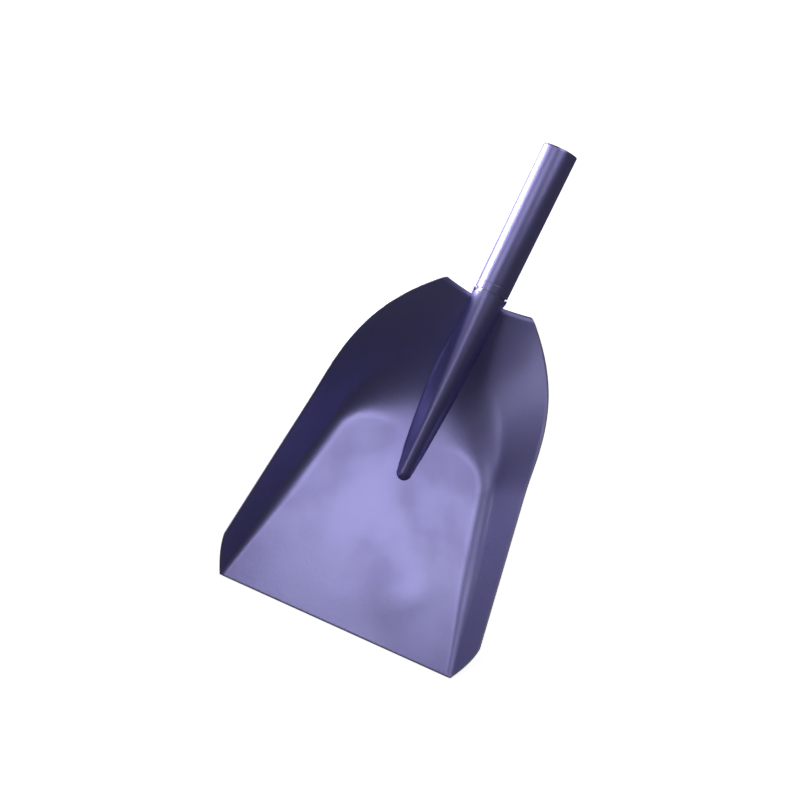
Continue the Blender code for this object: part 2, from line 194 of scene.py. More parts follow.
def wall_height(x, y):
    """Flat floor, side walls and swept back wall: bend() of the distance outside a rounded floor."""
    tilt = np.arctan(FLOOR_TAPER)
    from_side = (np.abs(x) - (FLOOR_FRONT_HALF - FLOOR_TAPER * y)) * np.cos(tilt)
    from_back = y - FLOOR_LENGTH
    p = np.maximum(from_side + FLOOR_CORNER, 0.0)
    q = np.maximum(from_back + FLOOR_CORNER, 0.0)
    reach = np.sqrt(p * p + q * q)
    inside = (p == 0.0) | (q == 0.0)
    distance = np.where(inside, np.maximum(from_side, from_back), reach - FLOOR_CORNER)
    back = np.where(reach > 0.0, q * q / np.maximum(reach * reach, 1e-9), 0.0)
    slope = SIDE_SLOPE + (BACK_SLOPE - SIDE_SLOPE) * back
    radius = side_bend(y) + (BACK_BEND - side_bend(y)) * back
    return bend(distance, slope, radius)


def lip_drop(x, y):
    """How far the rear edge rolls back below the straight wall, on both sides of the rib."""
    over = np.clip(y - (PAN_LENGTH - LIP_LENGTH), 0.0, LIP_LENGTH)
    angle = np.arcsin(np.sin(BACK_SLOPE) - over / LIP_RADIUS)
    arc = LIP_RADIUS * (np.cos(angle) - np.cos(BACK_SLOPE))
    clear = smooth_step((np.abs(x) - LIP_CLEAR_INNER) / (LIP_CLEAR_OUTER - LIP_CLEAR_INNER))
    return (over * np.tan(BACK_SLOPE) - arc) * clear


def crest_height(y):
    """Height of the rib's straight crest line."""
    return RIB_TIP_RISE + (y - RIB_TIP) * np.tan(RIB_ANGLE)


def rib_radius(y):
    """Radius of the rib's round top: the tip radius plus a power of the share of its length."""
    share = np.clip((y - RIB_TIP) / (PAN_LENGTH - RIB_TIP), 0.0, 1.0)
    return RIB_TIP_RADIUS + (RIB_REAR_RADIUS - RIB_TIP_RADIUS) * share**RIB_SWELL


def rib_flank(y):
    """Slope of the rib's flanks, which stand up straighter where the socket comes out."""
    steeper = smooth_step((y - PAN_LENGTH) / RIB_FLANK_GROWTH + 1.0)
    return RIB_FLANK + (RIB_FLANK_REAR - RIB_FLANK) * steeper


def rib_height(x, y):
    """A tapering half round below a straight crest line, with steep flanks and a rounded nose."""
    across = np.hypot(x, np.maximum(RIB_TIP + RIB_NOSE - y, 0.0))
    radius = rib_radius(y)
    flank = rib_flank(y)
    turn = radius * np.sin(flank)
    inner = np.minimum(across, turn)
    drop = radius - np.sqrt(radius * radius - inner * inner)
    drop = drop + np.maximum(across - turn, 0.0) * np.tan(flank)
    return crest_height(y) - drop / np.cos(RIB_ANGLE)


def rib_blend(y):
    """Depth of the fillet at the rib's foot: small at the nose and rear, wide along the flanks."""
    grown = (RIB_BLEND - RIB_BLEND_TIP) * smooth_step((y - RIB_TIP) / RIB_BLEND_GROWTH)
    faded = (RIB_BLEND - RIB_BLEND_REAR) * smooth_step((y - PAN_LENGTH) / RIB_BLEND_FADE + 1.0)
    return RIB_BLEND_TIP + grown - faded


def underside(x, y):
    """The larger of pan and rib, plus k/4 (1 - gap/k)^2 where they come within k of each other."""
    pan = wall_height(x, y) - lip_drop(x, y)
    rib = rib_height(x, y)
    blend = rib_blend(y)
    near = np.maximum(1.0 - np.abs(pan - rib) / blend, 0.0)
    return np.maximum(pan, rib) + blend * near * near / 4.0


# Centre x and y, half length, half width, turn in radians and height of each rise in the floor
FLOOR_SWELLS = (
    (62.0, 62.0, 34.0, 20.0, -0.65, 1.1),
    (18.0, 40.0, 26.0, 40.0, 0.2, 0.5),
    (-58.0, 120.0, 60.0, 46.0, 0.3, 0.4),
)


def handling_dents(x, y):
    """Shallow rises in the floor from handling: the sum of broad Gaussian swells about 1 mm high."""
    swell = np.zeros_like(x)
    for cx, cy, along, wide, turn, height in FLOOR_SWELLS:
        u = (x - cx) * np.cos(turn) + (y - cy) * np.sin(turn)
        v = (y - cy) * np.cos(turn) - (x - cx) * np.sin(turn)
        swell = swell + height * np.exp(-(u / wide) ** 2 - (v / along) ** 2)
    return swell


def sheet_surface(x, y):
    """Underside of the sheet with the rises from handling."""
    return underside(x, y) + handling_dents(x, y)


def sheet_normal(x, y):
    """Unit normal of the underside, from height differences over a short step to each side."""
    step = NORMAL_STEP
    dx = (sheet_surface(x + step, y) - sheet_surface(x - step, y)) / (2.0 * step)
    dy = (sheet_surface(x, y + step) - sheet_surface(x, y - step)) / (2.0 * step)
    normal = np.stack([-dx, -dy, np.ones_like(dx)], -1)
    return normal / np.linalg.norm(normal, axis=-1, keepdims=True)


def foot_line(y):
    """Half width of the rib where its flank meets the pan."""
    radius = rib_radius(y)
    need = np.maximum(crest_height(y) - wall_height(np.zeros_like(y), y), 0.0) * np.cos(RIB_ANGLE)
    flank = rib_flank(y)
    round_part = radius * (1.0 - np.cos(flank))
    fall = radius - np.minimum(need, round_part)
    on_round = np.sqrt(np.maximum(radius**2 - fall**2, 0.0))
    return on_round + np.maximum(need - round_part, 0.0) / np.tan(flank)


def sheet_columns(y):
    """X stations of each row: crest, flank, fillet, floor, bend and wall each get their own share."""
    rim = rim_half(y) - EDGE_ROUND
    turn = rib_radius(y) * np.sin(rib_flank(y)) * CREST_SHARE
    foot = np.maximum(foot_line(y), turn + FOOT_MARGIN)
    fillet = foot + FILLET_MARGIN
    half = side_bend(y) * np.tan(SIDE_SLOPE / 2.0)
    corner = np.maximum(y - (FLOOR_LENGTH - FLOOR_CORNER), 0.0)
    fold = FLOOR_FRONT_HALF - FLOOR_TAPER * y - FLOOR_CORNER
    fold = fold + np.sqrt(np.maximum(FLOOR_CORNER**2 - corner**2, 0.0))
    fold = np.maximum(fold, LEAST_FOLD * rim)
    lower = np.maximum(fold - half, fillet + BEND_MARGIN)
    upper = np.minimum(fold + half * np.cos(SIDE_SLOPE), rim - WALL_SHARE * rim**WALL_POWER)
    stops = np.stack([np.zeros_like(y), turn, foot, fillet, lower, upper, rim], 1)
    spans = len(COLUMN_COUNTS)
    share = spread(np.arange(spans + 1.0), COLUMN_COUNTS)
    whole = np.minimum(share.astype(int), spans - 1)
    part = (share - whole)[None, :]
    return stops[:, whole] * (1.0 - part) + stops[:, whole + 1] * part


def thin_body(low, high, rim_steps, bulge, out):
    """Closed body between two grids: both skins and a half-round border bulging along out."""
    rows, cols = low.shape[:2]
    size = rows * cols
    index = np.arange(size).reshape(rows, cols)
    skin = np.stack([index[:-1, :-1], index[1:, :-1], index[1:, 1:], index[:-1, 1:]], -1)
    skin = skin.reshape(-1, 4)
    ring = np.concatenate([index[0, :-1], index[:-1, -1], index[-1, :0:-1], index[:0:-1, 0]])
    first = low.reshape(-1, 3)[ring]
    last = high.reshape(-1, 3)[ring]
    turn = np.linspace(-np.pi / 2.0, np.pi / 2.0, rim_steps + 1)[1:-1, None, None]
    across = (first + last) / 2.0 + (last - first) / 2.0 * np.sin(turn)
    border = across + out[ring] * bulge * np.cos(turn)
    points = np.concatenate([low.reshape(-1, 3), high.reshape(-1, 3), border.reshape(-1, 3)])
    steps = np.arange(rim_steps - 1)[:, None] * len(ring)
    loops = [ring, *(2 * size + np.arange(len(ring)) + steps), ring + size]
    walls = []
    for near, far in zip(loops[:-1], loops[1:]):
        walls.append(np.stack([near, np.roll(near, -1), np.roll(far, -1), far], -1))
    return points, np.concatenate([skin, skin[:, ::-1] + size, *walls])


def border_outward(grid):
    """Unit direction out of the sheet at each border point, in the sheet's own plane."""
    out = np.zeros_like(grid)
    out[:, 0] += grid[:, 0] - grid[:, 1]
    out[:, -1] += grid[:, -1] - grid[:, -2]
    out[0] += (grid[0] - grid[1]) * 0.5
    out[-1] += (grid[-1] - grid[-2]) * 0.5
    flat = out.reshape(-1, 3)
    return flat / np.maximum(np.linalg.norm(flat, axis=1, keepdims=True), 1e-9)


def place(name, points, faces, material, node, edge=None):
    """A finished mesh in metres: smooth faces, and how far each point is from the sheet's edge."""
    placed = (points - np.array([0.0, HALF_OVERALL, 0.0])) * MM
    mesh = bpy.data.meshes.new(name)
    mesh.from_pydata(placed.tolist(), [], faces.tolist() if isinstance(faces, np.ndarray) else faces)
    mesh.polygons.foreach_set("use_smooth", np.ones(len(mesh.polygons), dtype=bool))
    if edge is not None:
        attribute = mesh.attributes.new("edge_mm", "FLOAT", "POINT")
        attribute.data.foreach_set("value", edge.astype(np.float32))
    mesh.materials.append(material)
    mesh.update()
    piece = bpy.data.objects.new(name, mesh)
    bpy.context.scene.collection.objects.link(piece)
    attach(piece, "root")
    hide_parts(node)


def make_pan(material):
    """The pressed sheet: its underside, and the same surface moved out along its normals."""
    stops = [EDGE_ROUND, CLIP_LENGTH, RIB_TIP - NOSE_AHEAD, RIB_TIP - NOSE_START]
    stops += [RIB_TIP + NOSE_BEHIND, PAN_LENGTH - LIP_LENGTH, PAN_LENGTH - EDGE_ROUND]
    along = spread(stops, ROW_COUNTS)
    half = sheet_columns(along)
    x = np.concatenate([-half[:, :0:-1], half], 1)
    y = np.repeat(along[:, None], x.shape[1], 1)
    low = np.stack([x, y, sheet_surface(x, y)], -1)
    normal = sheet_normal(x, y)
    normal[0, :, 1] = 0.0
    normal[0] = normal[0] / np.linalg.norm(normal[0], axis=-1, keepdims=True)
    high = low + SHEET * normal
    out = border_outward(low)
    points, faces = thin_body(low, high, SHEET_RIM_STEPS, EDGE_ROUND, out)
    edge = np.minimum(rim_half(y) - np.abs(x), np.minimum(y, PAN_LENGTH - y)).reshape(-1)
    edge = np.concatenate([edge, edge, np.zeros(len(points) - 2 * len(edge))])
    place("pan_sheet", points, faces, material, "pan", edge)


# ---------------------------------------------------------------- rolled socket

REAR_CREST = np.array([0.0, PAN_LENGTH, crest_height(PAN_LENGTH)])


def socket_core(s):
    """Outer radius without the neck's swell; s runs from the pan's rear edge towards the mouth."""
    inside = rib_radius(PAN_LENGTH + s * np.cos(RIB_ANGLE)) - SOCKET_CLEARANCE
    base = RIB_REAR_RADIUS - SOCKET_CLEARANCE
    outside = base + (MOUTH_RADIUS - NECK_STEP - base) * np.clip(s / SOCKET_LENGTH, 0.0, 1.0)
    return np.where(s < 0.0, inside, outside)


def neck_swell(s):
    """Growth from the neck that fits under the sheet to the full tube, level with the sheet's top."""
    return NECK_STEP * smooth_step((s - NECK_START) / NECK_LENGTH)


def socket_point(s, angle, depth):
    """Centre line plus arm: the cone's top line is straight, and depth is measured in from its skin."""
    core = socket_core(s)
    centre = REAR_CREST + s[..., None] * AXIS - (SOCKET_CLEARANCE + core)[..., None] * ABOVE
    arm = (core + neck_swell(s) - depth)[..., None]
    return centre + arm * (np.sin(angle)[..., None] * ACROSS + np.cos(angle)[..., None] * ABOVE)


def socket_start(angle):
    """Where the tube begins at each angle: a long top tongue, then a scarf to the full round."""
    share = smooth_step((np.abs(angle) - TONGUE_HALF_ANGLE) / SCARF_ANGLE)
    under = (np.abs(angle) - TONGUE_HALF_ANGLE - SCARF_ANGLE) / (np.pi / 2.0)
    lower = SCARF_START - SCARF_LENGTH * smooth_step(under)
    round_end = TONGUE_ROUND * np.clip(np.abs(angle) / TONGUE_HALF_ANGLE, 0.0, 1.0) ** 4
    return -((TONGUE_LENGTH - round_end) * (1.0 - share) + lower * share)


def socket_stations():
    """Stations along and around the socket; the cells at the fixing hole are square."""
    seam = np.pi - SEAM_HALF_GAP / MOUTH_RADIUS
    scarf = TONGUE_HALF_ANGLE + SCARF_ANGLE
    reach = HOLE_BLOCK_HALF / MOUTH_RADIUS
    stops = [0.0, TONGUE_HALF_ANGLE, scarf, HOLE_ANGLE - reach, HOLE_ANGLE + reach, seam]
    half = spread(stops, ANGLE_COUNTS)
    angle = np.concatenate([-half[:0:-1], half])
    middle = SOCKET_LENGTH - HOLE_FROM_MOUTH
    end = SOCKET_LENGTH - EDGE_ROUND
    neck_end = NECK_START + NECK_LENGTH
    stops = [0.0, NECK_START, neck_end, middle - HOLE_BLOCK_HALF, middle + HOLE_BLOCK_HALF, end]
    outside = spread(stops, TUBE_COUNTS)
    share = spread([0.0, 1.0], (TONGUE_COUNT,))
    inside = (socket_start(angle) + EDGE_ROUND)[None, :] * (1.0 - share[:, None])
    s = np.concatenate([inside, np.repeat(outside[1:, None], len(angle), 1)])
    return s, np.repeat(angle[None, :], len(s), 0)


def block_border(row, col):
    """Indices around the block of cells that the fixing hole is cut in, in order."""
    n = HOLE_BLOCK
    step = np.arange(n)
    rows = np.concatenate([np.full(n, row), row + step, np.full(n, row + n), row + n - step])
    cols = np.concatenate([col + step, np.full(n, col + n), col + n - step, np.full(n, col)])
    return rows, cols


def punch_hole(points, faces, s, angle):
    """Cuts the fixing hole through both skins, with a ring of quads out to the block, and lines it."""
    rows, cols = s.shape
    middle = SOCKET_LENGTH - HOLE_FROM_MOUTH
    row = int(np.argmin(np.abs(s[:, 0] - (middle - HOLE_BLOCK_HALF))))
    col = int(np.argmin(np.abs(angle[0] - (HOLE_ANGLE - HOLE_BLOCK_HALF / MOUTH_RADIUS))))
    r, c = block_border(row, col)
    across = (angle[r, c] - HOLE_ANGLE) * MOUTH_RADIUS
    along = s[r, c] - middle
    scale = HOLE_RADIUS / np.hypot(across, along)
    hole_s = middle + along * scale
    hole_angle = HOLE_ANGLE + across * scale / MOUTH_RADIUS
    keep = np.ones((rows - 1, cols - 1), dtype=bool)
    keep[row:row + HOLE_BLOCK, col:col + HOLE_BLOCK] = False
    keep = keep.reshape(-1)
    skins = len(keep)
    faces = np.concatenate([faces[:skins][keep], faces[skins:2 * skins][keep], faces[2 * skins:]])
    ring = r * cols + c
    low = len(points) + np.arange(len(ring))
    high = low + len(ring)
    after = np.roll(np.arange(len(ring)), -1)
    size = rows * cols
    inner = np.stack([ring, low, low[after], ring[after]], -1)
    outer = np.stack([ring[after] + size, high[after], high, ring + size], -1)
    lining = np.stack([low[after], low, high, high[after]], -1)
    rim = [socket_point(hole_s, hole_angle, SOCKET_WALL), socket_point(hole_s, hole_angle, 0.0)]
    return np.concatenate([points, *rim]), np.concatenate([faces, inner, outer, lining])


def make_socket(material):
    """The rolled tube with its tongue, open seam and fixing hole."""
    s, angle = socket_stations()
    low = socket_point(s, angle, SOCKET_WALL)
    high = socket_point(s, angle, 0.0)
    out = border_outward(low)
    points, faces = thin_body(low, high, SOCKET_RIM_STEPS, EDGE_ROUND, out)
    edge = np.minimum(SOCKET_LENGTH - s, s - socket_start(angle)).reshape(-1)
    extra = len(points) - 2 * len(edge)
    points, faces = punch_hole(points, faces, s, angle)
    edge = np.concatenate([edge, edge, np.zeros(extra + 8 * HOLE_BLOCK)])
    place("socket_tube", points, faces, material, "socket", edge)


# ---------------------------------------------------------------- weld runs

WELD_GAP = 0.3
EDGE_WELD_HALF_ANGLE = np.radians(84.0)
EDGE_WELD_LAP = 1.2
EDGE_WELD_FLUSH = 0.02
EDGE_WELD_SINK = 0.1
TONGUE_WELD_RADIUS = 1.5
TONGUE_WELD_FRONT = 14.0
TONGUE_WELD_REAR = 8.0
TONGUE_WELD_DEPTH = 0.1
TONGUE_WELD_SPARE = 0.2
FLANK_WELD_RADIUS = 1.7
FLANK_WELD_START = -34.0
FLANK_WELD_END = -2.5
FLANK_WELD_SPARE = 0.15
FLANK_WELD_LOW = np.radians(85.0)
FLANK_WELD_HIGH = np.radians(150.0)
FLANK_WELD_HALVINGS = 24
CLOSE_REACH = 6.0
SEAM_WELD_WIDTH = 4.2
SEAM_WELD_HEIGHT = 1.2
SEAM_WELD_FRONT = 4.0
SEAM_WELD_REAR = 5.0

# Weld puddles: spacing and depth of the scallops, the rounded ends and the sideways wander
RIPPLE_PITCH = 1.5
RIPPLE_DEPTH = 0.07
END_LENGTH = 1.2
END_LEAST = 0.04
WANDER = 0.018
WANDER_PITCH = 3.7 * RIPPLE_PITCH


def weld_run(path, side, up, width, height, sides=20):
    """Rings of an elliptical section along a path, scalloped by |sin| of the length at each puddle."""
    step = np.linalg.norm(np.diff(path, axis=0), axis=1)
    length = np.concatenate([[0.0], np.cumsum(step)])
    scallop = 1.0 - RIPPLE_DEPTH + RIPPLE_DEPTH * np.abs(np.sin(np.pi * length / RIPPLE_PITCH))
    from_end = np.minimum(length, length[-1] - length)
    near_end = 1.0 - np.clip(from_end / (END_LENGTH * width), 0.0, 1.0)
    taper = np.sqrt(np.clip(1.0 - near_end**2, END_LEAST, 1.0))
    size = scallop * taper
    turn = 2.0 * np.pi * np.arange(sides) / sides
    lean = WANDER * width * np.cos(2.0 * np.pi * length / WANDER_PITCH)
    ring = np.cos(turn)[None, :, None] * (side * (width * size)[:, None])[:, None, :]
    ring = ring + np.sin(turn)[None, :, None] * (up * (height * size)[:, None])[:, None, :]
    ring = ring + lean[:, None, None] * side[:, None, :]
    return path[:, None, :] + ring


def place_run(name, node, rings, material):
    """Skin over a row of equal rings, closed at both ends and facing out: its signed volume decides."""
    index = np.arange(rings.shape[0] * rings.shape[1]).reshape(rings.shape[:2])
    after = np.roll(index, -1, 1)
    skin = np.stack([index[:-1], after[:-1], after[1:], index[1:]], -1).reshape(-1, 4)
    points = rings.reshape(-1, 3)
    corner = points[skin]
    volume = np.einsum("ij,ij->", np.cross(corner[:, 0], corner[:, 1]), corner[:, 2])
    volume = volume + np.einsum("ij,ij->", np.cross(corner[:, 0], corner[:, 2]), corner[:, 3])
    faces = [*skin.tolist(), index[0, ::-1].tolist(), index[-1].tolist()]
    if volume < 0.0:
        faces = [face[::-1] for face in faces]
    return place(name, points, faces, material, node)


def path_frame(path):
    """Side and up directions of a run that lies along the socket."""
    ahead = np.gradient(path, axis=0)
    ahead = ahead / np.linalg.norm(ahead, axis=1, keepdims=True)
    side = np.cross(ahead, ABOVE)
    side = side / np.linalg.norm(side, axis=1, keepdims=True)
    return side, np.cross(side, ahead)


def make_edge_weld(material):
    """Dressed run: level with the sheet's top at its edge and with the full tube past the neck."""
    angle = np.linspace(-EDGE_WELD_HALF_ANGLE, EDGE_WELD_HALF_ANGLE, 160)[:, None]
    over = np.linspace(-EDGE_WELD_LAP, NECK_START + NECK_LENGTH, 16)
    along = np.concatenate([over, over[::-1]])
    top = SOCKET_CLEARANCE + SHEET + EDGE_WELD_FLUSH - neck_swell(over)
    lift = np.concatenate([top, np.full_like(top, -EDGE_WELD_SINK)])
    rings = socket_point(along[None, :] + 0.0 * angle, angle + 0.0 * along, -lift[None, :])
    place_run("rear_edge_weld", "edge_weld", rings, material)


def make_tongue_weld(label, hand, material):
    """Run along one edge of the tongue, in the corner it makes with the inside of the rib."""
    front = -(TONGUE_LENGTH - TONGUE_WELD_FRONT)
    s = np.linspace(front, -(SCARF_START + TONGUE_WELD_REAR), 150)
    depth = TONGUE_WELD_RADIUS + TONGUE_WELD_DEPTH
    arm = socket_core(s) - depth
    edges = np.linspace(TONGUE_HALF_ANGLE, TONGUE_HALF_ANGLE + SCARF_ANGLE, 60)
    edge = np.interp(s, socket_start(edges), edges)
    angle = edge + (TONGUE_WELD_RADIUS + WELD_GAP + TONGUE_WELD_SPARE) / arm
    path = socket_point(s, hand * angle, depth)
    side, up = path_frame(path)
    size = TONGUE_WELD_RADIUS
    rings = weld_run(path, side, up, size, size)
    place_run("tongue_weld_run_" + label, "tongue_weld_" + label, rings, material)


def sheet_distance(points):
    """Distance of points from the sheet's underside over a fine patch, negative above the sheet."""
    px, py, pz = (points[:, i, None, None] for i in range(3))
    x = px + np.linspace(-CLOSE_REACH, CLOSE_REACH, 161)[None, :, None]
    y = np.minimum(py + np.linspace(-CLOSE_REACH, CLOSE_REACH, 21)[None, None, :], PAN_LENGTH)
    gap = np.sqrt((x - px) ** 2 + (y - py) ** 2 + (underside(x, y) - pz) ** 2).min(axis=(1, 2))
    return np.where(underside(points[:, 0], points[:, 1]) > points[:, 2], gap, -gap)


def make_flank_weld(label, hand, material):
    """Run in the wedge between the socket's side and the rib's foot, found by halving the angle."""
    s = np.linspace(FLANK_WELD_START, FLANK_WELD_END, 12)
    reach = WELD_GAP + FLANK_WELD_RADIUS
    low = np.full_like(s, FLANK_WELD_LOW)
    high = np.full_like(s, FLANK_WELD_HIGH)
    for _ in range(FLANK_WELD_HALVINGS):
        middle = (low + high) / 2.0
        close = sheet_distance(socket_point(s, middle, -reach)) < reach + FLANK_WELD_SPARE
        low = np.where(close, middle, low)
        high = np.where(close, high, middle)
    fine = np.linspace(FLANK_WELD_START, FLANK_WELD_END, 130)
    path = socket_point(fine, hand * np.interp(fine, s, high), -reach)
    side, up = path_frame(path)
    size = FLANK_WELD_RADIUS
    rings = weld_run(path, side, up, size, size)
    place_run("flank_weld_run_" + label, "flank_weld_" + label, rings, material)


def make_seam_weld(material):
    """Run that closes the rolled seam along the back of the socket."""
    front = -(SCARF_START - SCARF_LENGTH) + SEAM_WELD_FRONT
    s = np.linspace(front, SOCKET_LENGTH - SEAM_WELD_REAR, 700)
    lift = WELD_GAP + SEAM_WELD_HEIGHT / 2.0
    path = socket_point(s, np.full_like(s, np.pi), -lift)
    side = np.repeat(ACROSS[None, :], len(path), 0)
    up = np.repeat(-ABOVE[None, :], len(path), 0)
    rings = weld_run(path, side, up, SEAM_WELD_WIDTH / 2.0, SEAM_WELD_HEIGHT / 2.0, 14)
    place_run("seam_weld_run", "seam_weld", rings, material)


# ---------------------------------------------------------------- finishes

ENAMEL = (0.310, 0.295, 0.620, 1.0)
DEEP_ENAMEL = (0.262, 0.238, 0.570, 1.0)
BARE_STEEL = (0.34, 0.34, 0.36, 1.0)
DUST = (0.42, 0.40, 0.46, 1.0)
METALLIC = 0.80
RUBBED_METALLIC = 0.9
COAT = 0.30
COAT_ROUGHNESS = 0.22
SPECKLE = 0.16
RAGGED = 0.9
CLOUD_GLOSS = 0.05
DUST_GLOSS = 0.5
RUB_GLOSS = 0.1
DIMPLE_SCALE = 300.0
DIMPLE_WAVE = 0.5
PEEL_HEIGHT = 0.00025

# Noise scales per metre: pooled clouds, speckle, slow wave, ragged edge, dust patches and grit
CLOUD_SCALE = 9.0
SPECKLE_SCALE = 420.0
WAVE_SCALE = 28.0
RAGGED_SCALE = 95.0
PATCH_SCALE = 16.0
GRIT_SCALE = 900.0

# Piece, roughness, pooling, peel, rub width in millimetres and dust of each finish
FINISHES = (
    ("pan_enamel_finish", 0.37, 0.5, 0.25, 0.9, 0.12),
    ("socket_enamel_finish", 0.33, 0.4, 0.22, 0.5, 0.05),
    ("weld_enamel_finish", 0.34, 0.6, 0.30, 0.0, 0.0),
)

FLOAT = "NodeSocketFloat"
COLOUR = "NodeSocketColor"
VECTOR = "NodeSocketVector"


class Sheet:
    """A node tree being filled: add() makes a node with its settings, join() links two sockets."""

    def __init__(self, tree):
        self.tree = tree

    def add(self, kind, **settings):
        node = self.tree.nodes.new(kind)
        for name, value in settings.items():
            setattr(node, name, value)
        return node

    def join(self, out, into):
        self.tree.links.new(out, into)

    def feed(self, socket, value):
        """Sets a socket to a constant, or links it to another node's output."""
        if isinstance(value, (int, float, tuple)):
            socket.default_value = value
        else:
            self.join(value, socket)

    def maths(self, operation, a, b):
        node = self.add("ShaderNodeMath", operation=operation)
        self.feed(node.inputs[0], a)
        self.feed(node.inputs[1], b)
        return node.outputs[0]

    def noise(self, vector, scale, detail, rough=0.5):
        node = self.add("ShaderNodeTexNoise")
        node.inputs["Detail"].default_value = detail
        node.inputs["Roughness"].default_value = rough
        self.join(vector, node.inputs["Vector"])
        self.feed(node.inputs["Scale"], scale)
        return node.outputs["Fac"]

    def ramp(self, value, low, high, to_low=0.0, to_high=1.0):
        node = self.add("ShaderNodeMapRange", interpolation_type="SMOOTHSTEP")
        self.feed(node.inputs["Value"], value)
        self.feed(node.inputs["From Min"], low)
        self.feed(node.inputs["From Max"], high)
        self.feed(node.inputs["To Min"], to_low)
        self.feed(node.inputs["To Max"], to_high)
        return node.outputs["Result"]

    def mix(self, share, a, b):
        node = self.add("ShaderNodeMix", data_type="RGBA")
        self.feed(node.inputs[0], share)
        self.feed(node.inputs[6], a)
        self.feed(node.inputs[7], b)
        return node.outputs[2]


def new_group(name, inputs, outputs):
    """An empty node group with named sockets; returns its sheet, input node and output node."""
    group = bpy.data.node_groups.new(name, "ShaderNodeTree")
    for label, kind, value in inputs:
        socket = group.interface.new_socket(label, in_out="INPUT", socket_type=kind)
        if value is not None:
            socket.default_value = value
    for label, kind in outputs:
        group.interface.new_socket(label, in_out="OUTPUT", socket_type=kind)
    sheet = Sheet(group)
    return sheet, sheet.add("NodeGroupInput"), sheet.add("NodeGroupOutput")


def enamel_tone_group():
    """Pooled enamel: thick patches are deeper, thin ones lighter, with a fine speckle over both."""
    inputs = [("Position", VECTOR, None), ("Enamel", COLOUR, ENAMEL)]
    inputs += [("Deep Enamel", COLOUR, DEEP_ENAMEL), ("Pooling", FLOAT, 0.5)]
    inputs += [("Speckle", FLOAT, 0.1)]
    sheet, taken, given = new_group("enamel_tone", inputs, [("Color", COLOUR), ("Cloud", FLOAT)])
    deep = taken.outputs["Deep Enamel"]
    cloud = sheet.ramp(sheet.noise(taken.outputs["Position"], CLOUD_SCALE, 4.0), 0.35, 0.68)
    fine = sheet.noise(taken.outputs["Position"], SPECKLE_SCALE, 2.0)
    pooled = sheet.maths("MULTIPLY", cloud, taken.outputs["Pooling"])
    toned = sheet.mix(pooled, taken.outputs["Enamel"], deep)
    speck = sheet.maths("MULTIPLY", sheet.ramp(fine, 0.4, 0.75), taken.outputs["Speckle"])
    sheet.join(sheet.mix(speck, toned, deep), given.inputs["Color"])
    sheet.join(cloud, given.inputs["Cloud"])
    return sheet.tree


def orange_peel_group():
    """Height of sprayed enamel: fine rounded dimples over a slow wave."""
    inputs = [("Position", VECTOR, None), ("Dimple Scale", FLOAT, 260.0), ("Wave", FLOAT, 0.4)]
    sheet, taken, given = new_group("orange_peel", inputs, [("Height", FLOAT)])
    dimple = sheet.noise(taken.outputs["Position"], taken.outputs["Dimple Scale"], 1.5, 0.4)
    wave = sheet.noise(taken.outputs["Position"], WAVE_SCALE, 2.0)
    total = sheet.maths("ADD", dimple, sheet.maths("MULTIPLY", wave, taken.outputs["Wave"]))
    sheet.join(total, given.inputs["Height"])
    return sheet.tree


def edge_rub_group():
    """Mask of enamel rubbed through near a sheet's edge: a noisy band in the edge_mm attribute."""
    inputs = [("Position", VECTOR, None), ("Edge", FLOAT, 10.0)]
    inputs += [("Width", FLOAT, 1.0), ("Ragged", FLOAT, 1.0)]
    sheet, taken, given = new_group("edge_rub", inputs, [("Mask", FLOAT)])
    rough = sheet.noise(taken.outputs["Position"], RAGGED_SCALE, 5.0, 0.65)
    ragged = sheet.maths("SUBTRACT", rough, 0.5)
    shift = sheet.maths("MULTIPLY", ragged, taken.outputs["Ragged"])
    reach = sheet.maths("ADD", taken.outputs["Edge"], shift)
    inner = sheet.maths("MULTIPLY", taken.outputs["Width"], 0.6)
    band = sheet.ramp(reach, inner, taken.outputs["Width"], 1.0, 0.0)
    sheet.join(band, given.inputs["Mask"])
    return sheet.tree


def dust_group():
    """Thin grain dust: patchy, and only on faces that look up."""
    inputs = [("Position", VECTOR, None), ("Up", FLOAT, 1.0), ("Amount", FLOAT, 0.1)]
    sheet, taken, given = new_group("grain_dust", inputs, [("Mask", FLOAT)])
    patch = sheet.ramp(sheet.noise(taken.outputs["Position"], PATCH_SCALE, 6.0, 0.6), 0.4, 0.8)
    grit = sheet.ramp(sheet.noise(taken.outputs["Position"], GRIT_SCALE, 1.0), 0.35, 0.7, 0.5, 1.0)
    facing = sheet.ramp(taken.outputs["Up"], 0.3, 0.95)
    whole = sheet.maths("MULTIPLY", sheet.maths("MULTIPLY", patch, grit), facing)
    sheet.join(sheet.maths("MULTIPLY", whole, taken.outputs["Amount"]), given.inputs["Mask"])
    return sheet.tree


